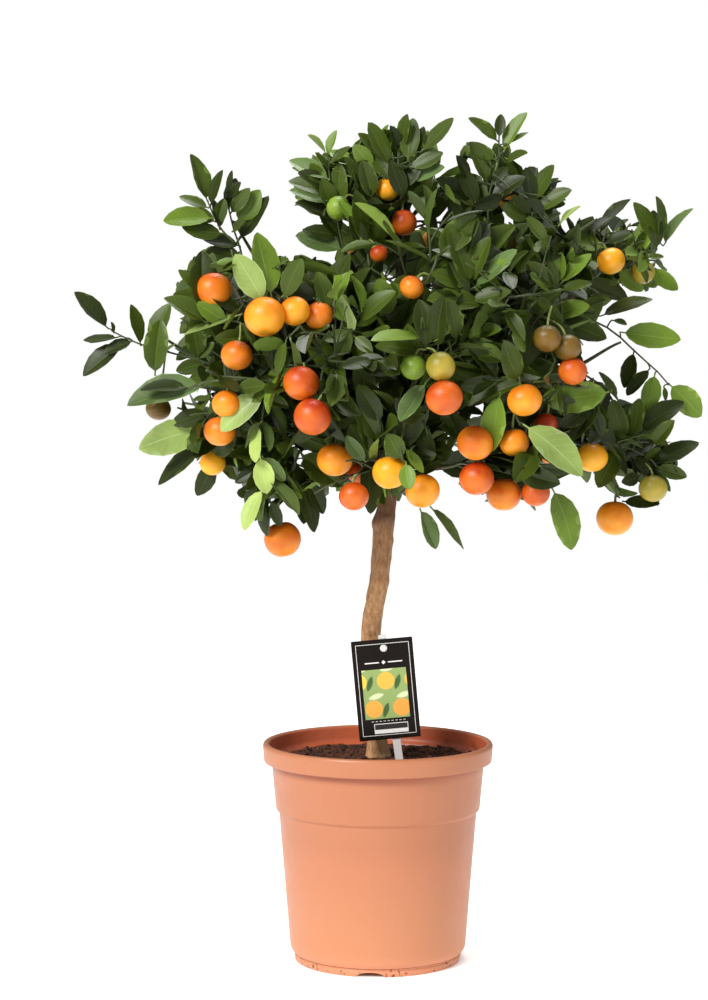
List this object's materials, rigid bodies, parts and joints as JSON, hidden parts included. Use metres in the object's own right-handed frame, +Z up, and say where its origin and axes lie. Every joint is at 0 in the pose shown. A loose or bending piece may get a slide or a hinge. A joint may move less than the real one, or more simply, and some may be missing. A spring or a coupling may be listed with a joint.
{
  "type": "potted calamondin orange tree",
  "caption": "Small citrus standard: a bare trunk and a round evergreen crown with orange fruit, in a tapered nursery pot with a plant label.",
  "frame": {"origin": "centre of the pot's flat underside, on the surface that the pot stands on", "axes": "+Z up along the height of the tree, -Y towards the front with the label, +X to the right as seen from the front"},
  "size_m": [0.5958, 0.4992, 0.7996],
  "materials": {
    "pot": "moulded polypropylene, terracotta colour, satin",
    "soil": "moist potting compost, crumbly",
    "bark": "young citrus bark, light brown, finely fissured",
    "foliage": "glossy evergreen leaves on green twigs, with orange fruit",
    "label_card": "printed sheet, black, semi-gloss",
    "label_stake": "white polystyrene, satin"
  },
  "bodies": {
    "root": {"bough_back": "bark", "bough_front": "bark", "bough_front_high": "bark", "bough_left_arm": "bark", "bough_left_back_high": "bark", "bough_left_front": "bark", "bough_left_front_high": "bark", "bough_left_low": "bark", "bough_left_middle_front": "bark", "bough_left_pendant": "bark", "bough_low_back": "bark", "bough_low_front": "bark", "bough_low_left_back": "bark", "bough_low_right_back": "bark", "bough_low_right_front": "bark", "bough_right_arm": "bark", "bough_right_back_high": "bark", "bough_right_front": "bark", "bough_right_front_high": "bark", "bough_right_low": "bark", "bough_right_top": "bark", "bough_top_back": "bark", "bough_top_centre": "bark", "bough_top_centre_left": "bark", "bough_top_left": "bark", "bough_top_right": "bark", "bough_upper_right": "bark", "label_card": "label_card", "label_stake": "label_stake", "leaves_back": "foliage", "leaves_front": "foliage", "leaves_front_high": "foliage", "leaves_left_arm": "foliage", "leaves_left_back_high": "foliage", "leaves_left_front": "foliage", "leaves_left_front_high": "foliage", "leaves_left_low": "foliage", "leaves_left_middle_front": "foliage", "leaves_left_pendant": "foliage", "leaves_low_back": "foliage", "leaves_low_front": "foliage", "leaves_low_left_back": "foliage", "leaves_low_right_back": "foliage", "leaves_low_right_front": "foliage", "leaves_right_arm": "foliage", "leaves_right_back_high": "foliage", "leaves_right_front": "foliage", "leaves_right_front_high": "foliage", "leaves_right_low": "foliage", "leaves_right_top": "foliage", "leaves_top_back": "foliage", "leaves_top_centre": "foliage", "leaves_top_centre_left": "foliage", "leaves_top_left": "foliage", "leaves_top_right": "foliage", "leaves_upper_right": "foliage", "pot": "pot", "soil": "soil", "trunk": "bark"}
  },
  "joints": []
}
